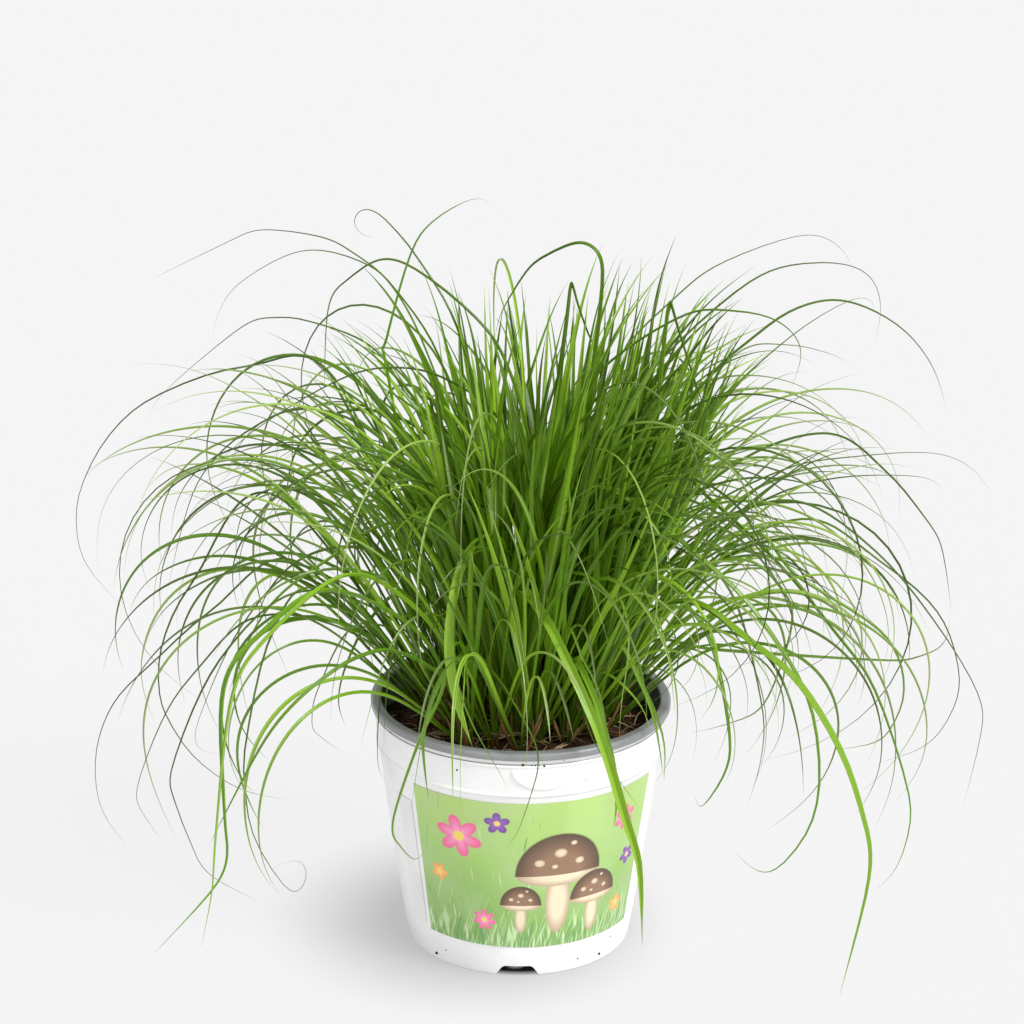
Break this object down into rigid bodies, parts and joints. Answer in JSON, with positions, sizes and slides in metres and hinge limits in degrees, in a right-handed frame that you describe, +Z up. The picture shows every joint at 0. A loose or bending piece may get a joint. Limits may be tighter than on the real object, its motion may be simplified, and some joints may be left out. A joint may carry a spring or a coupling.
{
  "type": "potted umbrella sedge",
  "caption": "Umbrella sedge: a dense clump of long, narrow, arching green blades growing from peat in a tapered white nursery pot with a rolled grey lip and a notched foot.",
  "frame": {"origin": "on the pot's axis, at the plane of the floor that its foot ring stands on", "axes": "+Z up along the pot's axis, -Y toward the front that the label faces, +X to the right seen from the front"},
  "size_m": [0.355, 0.2758, 0.298],
  "materials": {
    "pot": "thermoformed white plastic, grey inside and on the lip, with a printed label on its front",
    "soil": "moist dark peat with straw fibres",
    "leaf": "fresh green blades with a soft sheen, paler at the roots"
  },
  "bodies": {
    "root": {"pot": "pot", "soil": "soil", "shoot_01": "leaf", "shoot_02": "leaf", "shoot_03": "leaf", "shoot_04": "leaf", "shoot_05": "leaf", "shoot_06": "leaf", "shoot_07": "leaf", "shoot_08": "leaf", "shoot_09": "leaf", "shoot_10": "leaf", "shoot_11": "leaf", "shoot_12": "leaf", "shoot_13": "leaf", "shoot_14": "leaf", "shoot_15": "leaf", "shoot_16": "leaf", "shoot_17": "leaf", "shoot_18": "leaf", "shoot_19": "leaf", "shoot_20": "leaf", "shoot_21": "leaf", "shoot_22": "leaf", "shoot_23": "leaf", "shoot_24": "leaf", "shoot_25": "leaf", "shoot_26": "leaf", "shoot_27": "leaf", "shoot_28": "leaf", "shoot_29": "leaf", "shoot_30": "leaf", "shoot_31": "leaf", "shoot_32": "leaf", "shoot_33": "leaf", "shoot_34": "leaf", "shoot_35": "leaf", "shoot_36": "leaf", "shoot_37": "leaf", "shoot_38": "leaf", "shoot_39": "leaf", "shoot_40": "leaf", "shoot_41": "leaf", "shoot_42": "leaf", "shoot_43": "leaf", "shoot_44": "leaf"}
  },
  "joints": []
}
